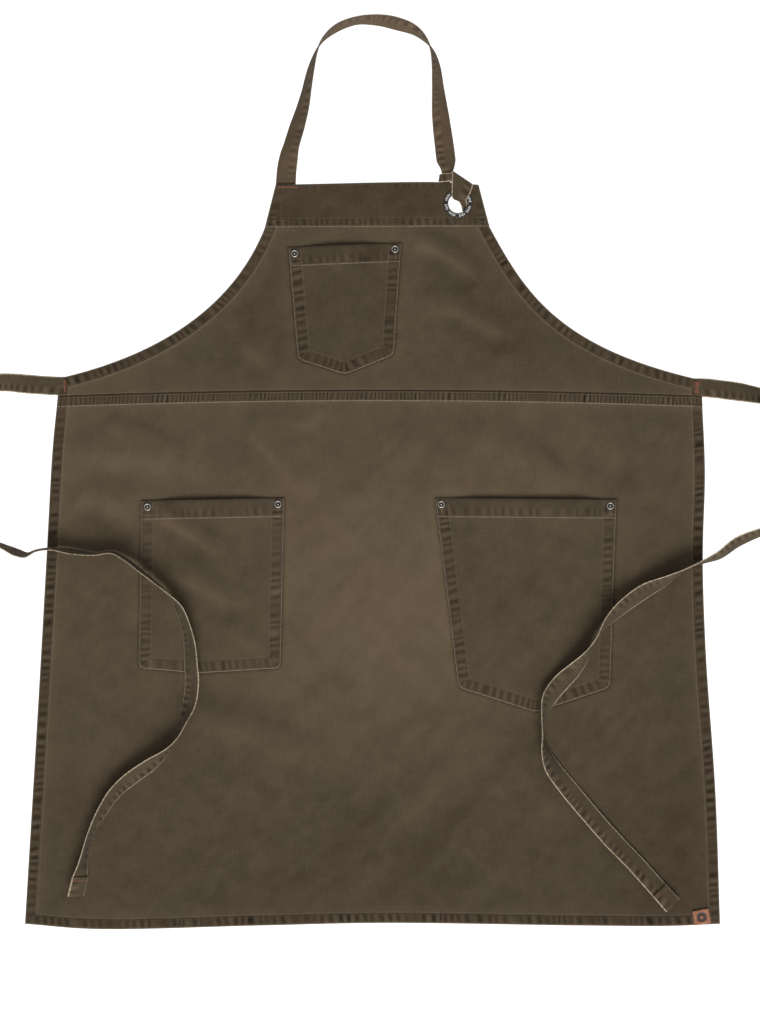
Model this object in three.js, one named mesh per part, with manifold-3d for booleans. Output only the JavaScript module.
// A canvas bib apron, lying flat on its back: the cloth's front faces +Z, the neck is at +Y, and the
// wearer's left is at +X. Units are millimetres. The origin is the bottom centre of the apron body.
import * as THREE from 'three';
import { mergeVertices } from 'three/addons/utils/BufferGeometryUtils.js';
import Module from 'manifold-3d';

const wasm = await Module();
wasm.setup();

// Cloth, and the levels that the layers lie at
const CLOTH = 1.0;
const GAP = 0.3;
const PANEL_BACK = 2.3;
const PANEL_FRONT = PANEL_BACK + CLOTH;
const PATCH_BACK = PANEL_FRONT + GAP;
const PATCH_FRONT = PATCH_BACK + CLOTH;
const SEWN_STRAP_BACK = 0.2;

// Outline of the body
const TOP_LEFT_X = -111.3;
const TOP_RIGHT_X = 121.8;
const TOP_Y = 427.5;
const TOP_CROWN = 3;
const BAND_HEIGHT = 49;
const BAND_LEFT_X = -123.6;
const BAND_RIGHT_X = 134.3;
const WAIST_LEFT_X = -361.5;
const WAIST_RIGHT_X = 378.5;
const WAIST_Y = 185;
const WAIST_BOW = 7;
const UNDERARM_RISE = 20;
const HEM_LEFT_X = -399.3;
const HEM_RIGHT_X = 399.3;
const HEM_Y = -421.5;
const SIDE_HEM = 11.5;
const BOTTOM_HEM = 13.5;
const SEAM_HEIGHT = 12.5;
const SEAM_LAP_FRONT = SEWN_STRAP_BACK + 1.8;

// Pockets: a sewn margin, a short rise, and a raised middle that a hand goes under
const POCKET_MARGIN = 13;
const POCKET_RISE_WIDTH = 8;
const POCKET_INSIDE = 4.6;
const POCKET_CORNER = 5;

// Rivets and the eyelet
const RIVET_RADIUS = 4.4;
const RIVET_SHANK_RADIUS = 1.8;
const RIVET_HEAD = 1.4;
const RIVET_INSET = 7;
const EYELET_X = 98.1;
const EYELET_Y = 406;
const EYELET_HOLE_RADIUS = 11.1;
const EYELET_BARREL_RADIUS = 12.2;
const EYELET_FLANGE_RADIUS = 16.7;
const EYELET_FLANGE = 1.6;

// Straps
const STRAP_WIDTH = 22.5;
const TIE_WIDTH = 21.5;
const STRAP_THICKNESS = 1.6;
const NECK_PIVOT_Y = TOP_Y + 16;
const NECK_START_X = -100.3;

const FABRIC = new THREE.MeshStandardMaterial({ color: 0x5a4f3f, roughness: 0.95, metalness: 0 });
const HEM_FABRIC = new THREE.MeshStandardMaterial({ color: 0x4a4033, roughness: 0.95, metalness: 0 });
const THREAD = new THREE.MeshStandardMaterial({ color: 0x8a4422, roughness: 0.8, metalness: 0 });
const RIVET_METAL = new THREE.MeshStandardMaterial({ color: 0xb8b4aa, roughness: 0.35, metalness: 1 });
const EYELET_METAL = new THREE.MeshStandardMaterial({ color: 0x4c4a48, roughness: 0.4, metalness: 1 });
const LEATHER = new THREE.MeshStandardMaterial({ color: 0x8a4a30, roughness: 0.6, metalness: 0 });

const apron = new THREE.Group();

function addMesh(name, geometry, material) {
  const mesh = new THREE.Mesh(geometry, material);
  mesh.name = name;
  apron.add(mesh);
  return mesh;
}

// Booleans

function toSolid(geometry) {
  geometry.deleteAttribute('normal');
  geometry.deleteAttribute('uv');
  const merged = mergeVertices(geometry, 1e-4);
  return new wasm.Manifold(new wasm.Mesh({
    numProp: 3,
    vertProperties: Float32Array.from(merged.attributes.position.array),
    triVerts: Uint32Array.from(merged.index.array),
  }));
}

function toGeometry(solid) {
  const mesh = solid.getMesh();
  const geometry = new THREE.BufferGeometry();
  geometry.setAttribute('position', new THREE.BufferAttribute(mesh.vertProperties, 3));
  geometry.setIndex(new THREE.BufferAttribute(mesh.triVerts, 1));
  return geometry;
}

function plate(points, bottom, top) {
  const settings = { depth: top - bottom, bevelEnabled: false };
  const geometry = new THREE.ExtrudeGeometry(new THREE.Shape(points), settings);
  return toSolid(geometry.translate(0, 0, bottom));
}

function box(low, high) {
  const geometry = new THREE.BoxGeometry(high[0] - low[0], high[1] - low[1], high[2] - low[2]);
  const [x, y, z] = low.map((value, axis) => (value + high[axis]) / 2);
  return toSolid(geometry.translate(x, y, z));
}

function drill([x, y], radius, segments = 16) {
  const geometry = new THREE.CylinderGeometry(radius, radius, 40, segments);
  return toSolid(geometry.rotateX(Math.PI / 2).translate(x, y, 0));
}

// Outlines

const v2 = ([x, y]) => new THREE.Vector2(x, y);

function smooth(points, steps) {
  return new THREE.SplineCurve(points.map(v2)).getPoints(steps);
}

// The points of an edge, moved sideways to its left by a distance, with mitred corners.
function offsetEdge(points, distance) {
  return points.map((point, i) => {
    const before = points[Math.max(i - 1, 0)];
    const after = points[Math.min(i + 1, points.length - 1)];
    const a = i > 0 ? point.clone().sub(before).normalize() : after.clone().sub(point).normalize();
    const b = i < points.length - 1 ? after.clone().sub(point).normalize() : a.clone();
    const normal = new THREE.Vector2(-(a.y + b.y), a.x + b.x).normalize();
    const stretch = 1 / Math.max(normal.dot(new THREE.Vector2(-a.y, a.x)), 0.5);
    return point.clone().addScaledVector(normal, distance * stretch);
  });
}

// The strip between an edge and its offset, as an outline.
function strip(points, width) {
  return [...points, ...offsetEdge(points, width).reverse()];
}

function waistPoint(share) {
  const x = THREE.MathUtils.lerp(WAIST_LEFT_X, WAIST_RIGHT_X, share);
  return new THREE.Vector2(x, WAIST_Y + WAIST_BOW * 4 * share * (1 - share));
}

const waist = Array.from({ length: 17 }, (_, i) => waistPoint(i / 16));
const lifted = (points, rise) => points.map((p) => new THREE.Vector2(p.x, p.y + rise));

const leftSide = smooth([[WAIST_LEFT_X, WAIST_Y], [-367.5, 125], [-374.5, 0], [-383, -150],
  [HEM_LEFT_X, HEM_Y]], 12);
const bottomEdge = smooth([[HEM_LEFT_X, HEM_Y], [-320, -427.5], [-130, -423.5], [10, -420.5], [240, -423.5],
  [340, -424], [HEM_RIGHT_X, HEM_Y]], 18);
const rightSide = smooth([[HEM_RIGHT_X, HEM_Y], [394, -270], [383, -110], [379.5, 0], [382, 97],
  [WAIST_RIGHT_X, WAIST_Y]], 14);

const leftArmhole = new THREE.CubicBezierCurve(v2([BAND_LEFT_X, TOP_Y - BAND_HEIGHT]), v2([-163.5, 278]),
  v2([-259.5, 228]), v2([WAIST_LEFT_X, WAIST_Y + UNDERARM_RISE])).getPoints(20);
const rightArmhole = new THREE.CubicBezierCurve(v2([WAIST_RIGHT_X, WAIST_Y + UNDERARM_RISE - 2]),
  v2([214, 240]), v2([175.5, 303]), v2([BAND_RIGHT_X, TOP_Y - BAND_HEIGHT + 1])).getPoints(20);
const topEdge = smooth([[TOP_RIGHT_X, TOP_Y], [77, TOP_Y + TOP_CROWN], [TOP_LEFT_X, TOP_Y]], 8);

// Fastener places

// The place of a rivet, inwards and down from a pocket's top corner.
const cornerPlace = (corner, side) => [corner[0] + side * RIVET_INSET, corner[1] - RIVET_INSET];

const POCKETS = {
  chest_pocket: {
    outline: [[-96.5, 355.3], [-85.7, 227.2], [-31.6, 209.6], [24.5, 232.3], [32.8, 360.4]],
  },
  hip_pocket_right: {
    outline: [[-265.4, 64.4], [-268.6, -127.6], [-199.5, -133.4], [-105.6, -127.6], [-101.5, 67.6]],
  },
  hip_pocket_left: {
    outline: [[71.9, 67.5], [98.7, -149.8], [187.6, -178.2], [272.8, -149.8], [280, 65.7]],
  },
};
for (const pocket of Object.values(POCKETS)) {
  pocket.rivets = [cornerPlace(pocket.outline[0], 1), cornerPlace(pocket.outline.at(-1), -1)];
}
const rivetPlaces = Object.values(POCKETS).flatMap((pocket) => pocket.rivets);
const shankHoles = rivetPlaces.map((place) => drill(place, RIVET_SHANK_RADIUS + GAP, 12));
const eyeletHole = drill([EYELET_X, EYELET_Y], EYELET_BARREL_RADIUS + GAP, 32);

// Panels

// The skirt: one sheet with its side and bottom hems turned to the back, and a felled seam band on top.
function skirtPanel() {
  const edge = [...leftSide, ...bottomEdge.slice(1), ...rightSide.slice(1)];
  const outline = [...edge, ...waist.slice(1, -1).reverse()];
  const seamPoints = [...lifted(waist, -SEAM_HEIGHT), ...[...waist].reverse()];
  const hemClear = lifted(waist, -SEAM_HEIGHT - GAP);
  let solid = plate(outline, PANEL_BACK, PANEL_FRONT)
    .add(plate(strip(edge, SIDE_HEM), 0, PANEL_FRONT))
    .add(plate(strip(bottomEdge, BOTTOM_HEM), 0, PANEL_FRONT))
    .add(plate(seamPoints, PANEL_BACK, PATCH_FRONT));
  // The bib's lap lies behind the seam band, so the hems stop below it.
  solid = solid.subtract(plate([...hemClear, ...lifted(waist, 1).reverse()], -1, PANEL_BACK));
  return solid;
}

// The bib: armhole hems at the back, and a lap that goes behind the skirt's seam band.
function bibPanel() {
  const seamLine = lifted(waist, GAP);
  const outline = [...seamLine, ...rightArmhole, ...topEdge, ...leftArmhole];
  const lap = [...lifted(waist, -SEAM_HEIGHT), ...lifted(waist, 4).reverse()];
  const joinStrip = [...seamLine, ...lifted(waist, 4).reverse()];
  return plate(outline, PANEL_BACK, PANEL_FRONT)
    .add(plate(strip(rightArmhole, SIDE_HEM), 0, PANEL_FRONT))
    .add(plate(strip(leftArmhole, SIDE_HEM), 0, PANEL_FRONT))
    .add(plate(lap, SEWN_STRAP_BACK, SEAM_LAP_FRONT))
    .add(plate(joinStrip, SEWN_STRAP_BACK, PANEL_FRONT))
    .subtract(tieRecess(-1))
    .subtract(tieRecess(1));
}

// The room behind the bib's lower corner where a tie's end is sewn in.
function tieRecess(side) {
  const corner = side < 0 ? WAIST_LEFT_X : WAIST_RIGHT_X;
  const x = [corner - side * 17, corner + side * 30].sort((a, b) => a - b);
  return box([x[0], WAIST_Y - 1, -1], [x[1], WAIST_Y + UNDERARM_RISE + 8, PANEL_BACK]);
}

function bibTopBand() {
  const low = TOP_Y - BAND_HEIGHT;
  const points = [[BAND_LEFT_X, low], [BAND_RIGHT_X, low + 1]].map(v2);
  return plate([...points, ...topEdge], PATCH_BACK, PATCH_FRONT);
}

function addPanel(name, whole, material) {
  const solid = [...shankHoles, eyeletHole].reduce((rest, hole) => rest.subtract(hole), whole);
  addMesh(name, toGeometry(solid), material);
}
addPanel('skirt_panel', skirtPanel(), FABRIC);
addPanel('bib_panel', bibPanel(), FABRIC);
addPanel('bib_top_band', bibTopBand(), HEM_FABRIC);

// Pockets

// The outline from one end of the mouth, down round the bottom and up to the other end, with its
// corners rounded, moved inwards.
function pocketEdge(outline, inset) {
  const edge = offsetEdge(outline.map(v2), inset);
  const mouth = edge.length - 1;
  const rounded = [onMouth(edge[0], edge[1], outline)];
  for (let i = 1; i < mouth; i += 1) {
    const before = edge[i - 1].clone().sub(edge[i]).setLength(POCKET_CORNER).add(edge[i]);
    const after = edge[i + 1].clone().sub(edge[i]).setLength(POCKET_CORNER).add(edge[i]);
    rounded.push(...new THREE.QuadraticBezierCurve(before, edge[i], after).getPoints(3));
  }
  rounded.push(onMouth(edge[mouth], edge[mouth - 1], outline));
  return rounded;
}

// Where a side line meets the straight line of the mouth.
function onMouth(top, below, outline) {
  const [x0, y0] = outline[0];
  const [x1, y1] = outline.at(-1);
  const slope = (y1 - y0) / (x1 - x0);
  const run = top.clone().sub(below);
  const t = (y0 + slope * (below.x - x0) - below.y) / (run.y - slope * run.x);
  return below.clone().addScaledVector(run, t);
}

// A pouch with its mouth open at the top: nested edges at rising heights, one cloth thick.
function pouch(outline) {
  const levels = [
    [0, PATCH_BACK],
    [POCKET_MARGIN, PATCH_BACK],
    [POCKET_MARGIN + POCKET_RISE_WIDTH, PANEL_FRONT + POCKET_INSIDE],
  ];
  const rows = levels.map(([inset, height]) => ({ points: pocketEdge(outline, inset), height }));
  const count = rows[0].points.length;
  const positions = [];
  const faces = [];
  const index = (row, i, side) => (side * rows.length + row) * count + i;
  for (const side of [0, 1]) {
    for (const row of rows) {
      for (const p of row.points) positions.push(p.x, p.y, row.height + side * CLOTH);
    }
  }
  const quad = (a, b, c, d) => faces.push(a, b, c, a, c, d);
  for (let row = 0; row < rows.length - 1; row += 1) {
    for (let i = 0; i < count - 1; i += 1) {
      quad(index(row, i, 1), index(row, i + 1, 1), index(row + 1, i + 1, 1), index(row + 1, i, 1));
      quad(index(row + 1, i, 0), index(row + 1, i + 1, 0), index(row, i + 1, 0), index(row, i, 0));
    }
    quad(index(row, 0, 0), index(row, 0, 1), index(row + 1, 0, 1), index(row + 1, 0, 0));
    const end = count - 1;
    quad(index(row + 1, end, 0), index(row + 1, end, 1), index(row, end, 1), index(row, end, 0));
  }
  for (let i = 0; i < count - 1; i += 1) {
    quad(index(0, i, 0), index(0, i + 1, 0), index(0, i + 1, 1), index(0, i, 1));
  }
  const inner = rows.length - 1;
  quad(index(inner, 0, 0), index(inner, 0, 1), index(inner, count - 1, 1), index(inner, count - 1, 0));
  for (const [a, b, c] of THREE.ShapeUtils.triangulateShape(rows[inner].points, [])) {
    faces.push(index(inner, a, 1), index(inner, b, 1), index(inner, c, 1));
    faces.push(index(inner, c, 0), index(inner, b, 0), index(inner, a, 0));
  }
  const geometry = new THREE.BufferGeometry();
  geometry.setAttribute('position', new THREE.Float32BufferAttribute(positions, 3));
  geometry.setIndex(faces);
  return geometry;
}

for (const [name, pocket] of Object.entries(POCKETS)) {
  const solid = shankHoles.reduce((rest, hole) => rest.subtract(hole), toSolid(pouch(pocket.outline)));
  addMesh(name, toGeometry(solid), FABRIC);
}

// Rivets and the eyelet, turned about Z

function turned(profile, segments, [x, y]) {
  const geometry = new THREE.LatheGeometry(profile.map(v2), segments);
  return geometry.rotateX(Math.PI / 2).translate(x, y, 0);
}

// Head on the pocket's margin and a shank down through both cloths.
function rivetCap(place) {
  const seat = PATCH_FRONT + GAP;
  return turned([[0, SEWN_STRAP_BACK], [RIVET_SHANK_RADIUS, SEWN_STRAP_BACK], [RIVET_SHANK_RADIUS, seat],
    [RIVET_RADIUS, seat], [RIVET_RADIUS, seat + RIVET_HEAD * 0.6], [RIVET_RADIUS - 1.2, seat + RIVET_HEAD],
    [0, seat + RIVET_HEAD]], 16, place);
}

// The ring that the shank is set into, behind the panel.
function rivetBack(place) {
  const inner = RIVET_SHANK_RADIUS + GAP;
  const outer = RIVET_RADIUS - 0.4;
  return turned([[inner, SEWN_STRAP_BACK], [outer, SEWN_STRAP_BACK], [outer, PANEL_BACK - GAP],
    [inner, PANEL_BACK - GAP], [inner, SEWN_STRAP_BACK]], 16, place);
}

for (const [name, pocket] of Object.entries(POCKETS)) {
  pocket.rivets.forEach((place, i) => {
    const side = i === 0 ? 'a' : 'b';
    addMesh(`${name}_rivet_${side}_cap`, rivetCap(place), RIVET_METAL);
    addMesh(`${name}_rivet_${side}_back`, rivetBack(place), RIVET_METAL);
  });
}

// The eyelet's face and barrel in one, rolled over a washer at the back.
function eyeletFace() {
  const seat = PATCH_FRONT + GAP;
  return turned([[EYELET_HOLE_RADIUS, SEWN_STRAP_BACK], [EYELET_BARREL_RADIUS, SEWN_STRAP_BACK],
    [EYELET_BARREL_RADIUS, seat], [EYELET_FLANGE_RADIUS, seat],
    [EYELET_FLANGE_RADIUS, seat + EYELET_FLANGE / 2],
    [EYELET_FLANGE_RADIUS - 1, seat + EYELET_FLANGE], [EYELET_HOLE_RADIUS + 1, seat + EYELET_FLANGE],
    [EYELET_HOLE_RADIUS, seat + EYELET_FLANGE / 2], [EYELET_HOLE_RADIUS, SEWN_STRAP_BACK]], 32,
  [EYELET_X, EYELET_Y]);
}

function eyeletWasher() {
  const inner = EYELET_BARREL_RADIUS + GAP;
  return turned([[inner, SEWN_STRAP_BACK + 0.4], [EYELET_FLANGE_RADIUS, SEWN_STRAP_BACK + 0.4],
    [EYELET_FLANGE_RADIUS, PANEL_BACK - GAP], [inner, PANEL_BACK - GAP], [inner, SEWN_STRAP_BACK + 0.4]], 32,
  [EYELET_X, EYELET_Y]);
}

addMesh('eyelet_face', eyeletFace(), EYELET_METAL);
addMesh('eyelet_washer', eyeletWasher(), EYELET_METAL);

// Flat straps

// A closed flat strap. Each station has its centre, the unit direction across it, and its width.
function ribbon(stations, thickness = STRAP_THICKNESS) {
  const positions = [];
  const faces = [];
  const last = stations.length - 1;
  stations.forEach(({ centre, across, width }, i) => {
    const ahead = stations[Math.min(i + 1, last)].centre;
    const along = ahead.clone().sub(stations[Math.max(i - 1, 0)].centre).normalize();
    const up = across.clone().cross(along).normalize();
    for (const [side, face] of [[-1, -1], [1, -1], [1, 1], [-1, 1]]) {
      const edge = centre.clone().addScaledVector(across, side * width / 2);
      positions.push(...edge.addScaledVector(up, face * thickness / 2));
    }
  });
  const quad = (a, b, c, d) => faces.push(a, b, c, a, c, d);
  for (let i = 0; i < last; i += 1) {
    for (let k = 0; k < 4; k += 1) {
      const next = (k + 1) % 4;
      quad(4 * i + k, 4 * i + 4 + k, 4 * i + 4 + next, 4 * i + next);
    }
  }
  quad(0, 1, 2, 3);
  quad(4 * last + 3, 4 * last + 2, 4 * last + 1, 4 * last);
  const geometry = new THREE.BufferGeometry();
  geometry.setAttribute('position', new THREE.Float32BufferAttribute(positions, 3));
  geometry.setIndex(faces);
  const solid = toSolid(geometry);
  return toGeometry(solid);
}

function centripetal(points) {
  return new THREE.CatmullRomCurve3(points, false, 'centripetal');
}

// A strap lying on its back or leaning on one edge. Each point of the route is [x, y, roll, floor]: the
// roll in degrees is 0 where the strap lies flat and 90 where it stands on edge, and floor is the height
// of what it lies on.
function lyingStations(route, width, steps) {
  const path = centripetal(route.map(([x, y]) => new THREE.Vector3(x, y, 0)));
  const pose = centripetal(route.map(([, , roll, floor]) => new THREE.Vector3(roll, floor, 0)));
  return Array.from({ length: steps + 1 }, (_, i) => {
    const t = i / steps;
    const centre = path.getPoint(t);
    const tangent = path.getTangent(t);
    const roll = THREE.MathUtils.degToRad(pose.getPoint(t).x);
    const floor = pose.getPoint(t).y;
    const level = new THREE.Vector3(tangent.y, -tangent.x, 0).normalize();
    const across = level.multiplyScalar(Math.cos(roll)).add(new THREE.Vector3(0, 0, Math.sin(roll)));
    const lean = Math.abs(Math.sin(roll)) * width / 2;
    centre.z = floor + lean + Math.abs(Math.cos(roll)) * STRAP_THICKNESS / 2;
    return { centre, across, width };
  });
}

// A strap that keeps its width along X while it bends in the YZ plane. Points are [x, y, z, width].
function bentStations(route, steps) {
  const path = centripetal(route.map(([x, y, z]) => new THREE.Vector3(x, y, z)));
  const widths = centripetal(route.map(([, , , w]) => new THREE.Vector3(w, 0, 0)));
  return Array.from({ length: steps + 1 }, (_, i) => ({
    centre: path.getPoint(i / steps),
    across: new THREE.Vector3(1, 0, 0),
    width: widths.getPoint(i / steps).x,
  }));
}

// The neck strap: sewn behind the bib's top left corner, round the neck, down to a knot above the eyelet.
const NECK_ROUTE = [
  [-98.5, NECK_PIVOT_Y + 2, 0, 0.4], [-97, 455, 8, 0.3], [-93, 472, 32, 0.2], [-86, 495, 36, 0.2],
  [-80, 515, 47, 0.2], [-75.5, 535, 58, 0.2], [-71, 557, 66, 0.2], [-64, 580, 80, 0.2],
  [-55.5, 594, 92, 0.2], [-40, 606.5, 102, 0.2], [-18, 614.5, 104, 0.2], [8, 615, 114, 0.2],
  [30, 610.5, 120, 0.2], [47.5, 604, 110, 0.2], [60.5, 593, 95, 0.2], [68.5, 580, 76, 0.2],
  [73, 562, 62, 0.2], [75, 540, 52, 0.2], [77, 517, 36, 0.2], [79.5, 495, 20, 0.4],
  [82.5, 472, 12, 1.2], [84.5, 455, 12, 2.6], [85.5, NECK_PIVOT_Y + 4, 14, 3.6],
];
addMesh('neck_strap_loop', ribbon(lyingStations(NECK_ROUTE, STRAP_WIDTH, 72)), FABRIC);

const SEWN_STRAP_MID = SEWN_STRAP_BACK + STRAP_THICKNESS / 2;
addMesh('neck_strap_sewn_end', ribbon(bentStations([
  [NECK_START_X, TOP_Y - BAND_HEIGHT + 6, SEWN_STRAP_MID, STRAP_WIDTH],
  [NECK_START_X, TOP_Y - 10, SEWN_STRAP_MID, STRAP_WIDTH],
  [-98.8, NECK_PIVOT_Y - 1, SEWN_STRAP_MID, STRAP_WIDTH]], 6)), FABRIC);

// The knot lies just above the bib's top edge, and the tail goes from it down the front, through the
// eyelet and back up behind the bib.
const KNOT_X = 86.5;
const KNOT_Y = TOP_Y + 9;
const KNOT_Z = 5.6;
const KNOT_RADIUS = 5.8;
const KNOT_HALF_LENGTH = 10.5;
const KNOT_TILT = 0.15;
function knot() {
  const profile = Array.from({ length: 9 }, (_, i) => {
    const angle = Math.PI * (i / 8 - 0.5);
    return [Math.max(Math.cos(angle), 0) * KNOT_RADIUS, Math.sin(angle) * KNOT_HALF_LENGTH];
  });
  const geometry = new THREE.LatheGeometry(profile.map(v2), 14);
  geometry.rotateZ(Math.PI / 2 + KNOT_TILT).scale(1, 0.95, 0.85);
  return geometry.translate(KNOT_X, KNOT_Y, KNOT_Z);
}
addMesh('neck_strap_knot', knot(), FABRIC);

const TAIL_FRONT = PATCH_FRONT + EYELET_FLANGE + 1.6;
const TAIL_END_X = EYELET_X + 2.4;
const TAIL_END_Y = EYELET_Y + 4.6;
const TAIL_ROUTE = [
  [93, TOP_Y + 5.5, TAIL_FRONT + 6.6, 17], [95, TOP_Y - 1, TAIL_FRONT + 4.2, 18],
  [97.5, TOP_Y - 7, TAIL_FRONT + 1.4, 15], [100, EYELET_Y + 9, TAIL_FRONT + 0.4, 12],
  [TAIL_END_X, TAIL_END_Y + 0.9, TAIL_FRONT - 1.4, 10.5], [TAIL_END_X, TAIL_END_Y, 4, 10],
  [TAIL_END_X, TAIL_END_Y, 0.3, 10],
];
addMesh('neck_strap_tail', ribbon(bentStations(TAIL_ROUTE, 16)), FABRIC);

// The waist ties: sewn behind the bib's lower corners, thrown out to the side and back across the front.
const SKIRT_TOP = PANEL_FRONT + 0.8;
const POCKET_TOP = PANEL_FRONT + POCKET_INSIDE + CLOTH + 0.8;
const RIGHT_TIE_ROUTE = [
  [WAIST_LEFT_X - 2.5, 196.5, 0, 0.3], [-395, 198.5, 2, 0.2], [-425, 200.5, 18, 0.2], [-460, 196, 50, 0.2],
  [-492, 177, 72, 0.2], [-511, 146, 82, 0.2], [-515, 112, 85, 0.2], [-505, 76, 85, 0.2],
  [-484, 44, 84, 0.2], [-456, 23, 82, 0.2], [-428, 14.2, 80, 0.2], [-407, 5, 70, 0.2],
  [-397, 2.4, 76, 1.6], [-384, 7.5, 84, SKIRT_TOP], [-368, 9.5, 84, SKIRT_TOP], [-343, 6.5, 74, SKIRT_TOP],
  [-318, 3.5, 84, SKIRT_TOP], [-298, 5.5, 84, SKIRT_TOP], [-283, -2, 84, SKIRT_TOP + 1.5],
  [-267, -14, 84, POCKET_TOP - 1.5], [-250, -27.5, 88, POCKET_TOP], [-234, -41, 94, POCKET_TOP],
  [-222, -57, 118, POCKET_TOP], [-214, -76, 124, POCKET_TOP], [-209, -100, 134, POCKET_TOP],
  [-207.5, -122, 140, POCKET_TOP], [-206.5, -143, 142, SKIRT_TOP + 3], [-209.5, -166, 140, SKIRT_TOP],
  [-217, -187, 120, SKIRT_TOP], [-224.5, -206, 100, SKIRT_TOP], [-236, -222, 74, SKIRT_TOP],
  [-255, -238, 44, SKIRT_TOP], [-276, -253, 40, SKIRT_TOP], [-295, -270, 48, SKIRT_TOP],
  [-311, -294, 60, SKIRT_TOP], [-323, -318, 74, SKIRT_TOP], [-329, -339, 72, SKIRT_TOP],
  [-332, -353, 62, SKIRT_TOP], [-335.5, -367.5, 42, SKIRT_TOP],
];
const LEFT_TIE_ROUTE = [
  [WAIST_RIGHT_X + 2.5, 194.5, 0, 0.3], [404, 192, 2, 0.2], [430, 188, 14, 0.2], [462, 180, 48, 0.2],
  [492, 166, 68, 0.2], [512, 140, 78, 0.2], [519, 110, 80, 0.2], [512, 77, 78, 0.2],
  [490, 47, 72, 0.2], [466, 34, 66, 0.2], [446, 28.7, 62, 0.2], [418, 17, 54, 0.2],
  [398, 3, 60, 3], [384, -3, 72, SKIRT_TOP], [361, -12.5, 84, SKIRT_TOP],
  [337, -26, 60, SKIRT_TOP], [311, -39.5, 34, SKIRT_TOP], [286, -57, 40, POCKET_TOP - 1.6],
  [268, -74, 62, POCKET_TOP], [255, -93, 84, POCKET_TOP], [244, -112, 62, POCKET_TOP],
  [230, -129, 34, POCKET_TOP], [214.5, -145, 16, POCKET_TOP], [203, -160, 30, POCKET_TOP],
  [197, -178, 64, POCKET_TOP - 3], [194.5, -202, 86, SKIRT_TOP + 0.5], [197.5, -221, 62, SKIRT_TOP],
  [205.5, -240, 34, SKIRT_TOP], [222, -262, 14, SKIRT_TOP], [246, -291, 8, SKIRT_TOP],
  [274, -323, 10, SKIRT_TOP], [301, -351, 14, SKIRT_TOP], [330, -383.5, 16, SKIRT_TOP],
];
const TIE_END = 22;
const FOLD_LIFT = new THREE.Vector3(0, 0, STRAP_THICKNESS * 0.4);

// The tie and, on its tip, the folded and tacked end.
function addTie(name, route) {
  const stations = lyingStations(route, TIE_WIDTH, 64);
  addMesh(name, ribbon(stations), FABRIC);
  const tip = stations.at(-1);
  const along = tip.centre.clone().sub(stations.at(-2).centre).setZ(0).normalize();
  const ends = [GAP + 0.1, TIE_END].map((distance) => ({
    centre: tip.centre.clone().addScaledVector(along, distance).add(FOLD_LIFT),
    across: tip.across,
    width: TIE_WIDTH,
  }));
  addMesh(`${name}_folded_end`, ribbon(ends, STRAP_THICKNESS * 1.8), HEM_FABRIC);
}
addTie('waist_tie_right', RIGHT_TIE_ROUTE);
addTie('waist_tie_left', LEFT_TIE_ROUTE);

// The ties' sewn ends, behind the bib's lower corners.
const SEWN_TIE_LENGTH = 17;
const SEWN_TIE_WIDTH = 15.5;
function tieSewnEnd(side, start) {
  const [x, y] = start;
  const stations = [side * SEWN_TIE_LENGTH, -side].map((distance) => ({
    centre: new THREE.Vector3(x - distance, y, SEWN_STRAP_MID),
    across: new THREE.Vector3(0, 1, 0),
    width: SEWN_TIE_WIDTH,
  }));
  return ribbon(stations);
}
addMesh('waist_tie_right_sewn_end', tieSewnEnd(-1, [WAIST_LEFT_X, 196.5]), FABRIC);
addMesh('waist_tie_left_sewn_end', tieSewnEnd(1, [WAIST_RIGHT_X, 194.5]), FABRIC);

// Bartacks: short ridges of heavy thread where a strap or a pocket corner takes the load
const TACK_HEIGHT = 0.9;
function bartack(name, [x, y], [width, height], floor) {
  const low = [x - width / 2, y - height / 2, floor];
  const tack = box(low, [x + width / 2, y + height / 2, floor + TACK_HEIGHT]);
  addMesh(name, toGeometry(tack), THREAD);
}
bartack('bartack_tie_right', [WAIST_LEFT_X + 8, 196.5], [2.4, 14], PANEL_FRONT + GAP);
bartack('bartack_tie_left', [WAIST_RIGHT_X - 6, 194.5], [8, 14], PANEL_FRONT + GAP);
bartack('bartack_neck_strap', [-98, TOP_Y - 2.6], [24, 2], PATCH_FRONT + GAP);

// Leather tab sewn on the bottom hem
const LABEL = { x: 378, y: -413.4, width: 19.4, height: 17, corner: 1.5, thickness: 1.6, turn: 10 };
function leatherLabel() {
  const { corner } = LABEL;
  const shape = new THREE.Shape();
  const [x, y] = [LABEL.width / 2, LABEL.height / 2];
  shape.moveTo(-x + corner, -y);
  shape.lineTo(x - corner, -y);
  shape.quadraticCurveTo(x, -y, x, -y + corner);
  shape.lineTo(x, y - corner);
  shape.quadraticCurveTo(x, y, x - corner, y);
  shape.lineTo(-x + corner, y);
  shape.quadraticCurveTo(-x, y, -x, y - corner);
  shape.lineTo(-x, -y + corner);
  shape.quadraticCurveTo(-x, -y, -x + corner, -y);
  const settings = { depth: LABEL.thickness, bevelEnabled: false, curveSegments: 4 };
  const geometry = new THREE.ExtrudeGeometry(shape, settings);
  geometry.rotateZ(THREE.MathUtils.degToRad(LABEL.turn));
  return geometry.translate(LABEL.x, LABEL.y, PANEL_FRONT + GAP);
}
addMesh('leather_label', leatherLabel(), LEATHER);

export default apron;
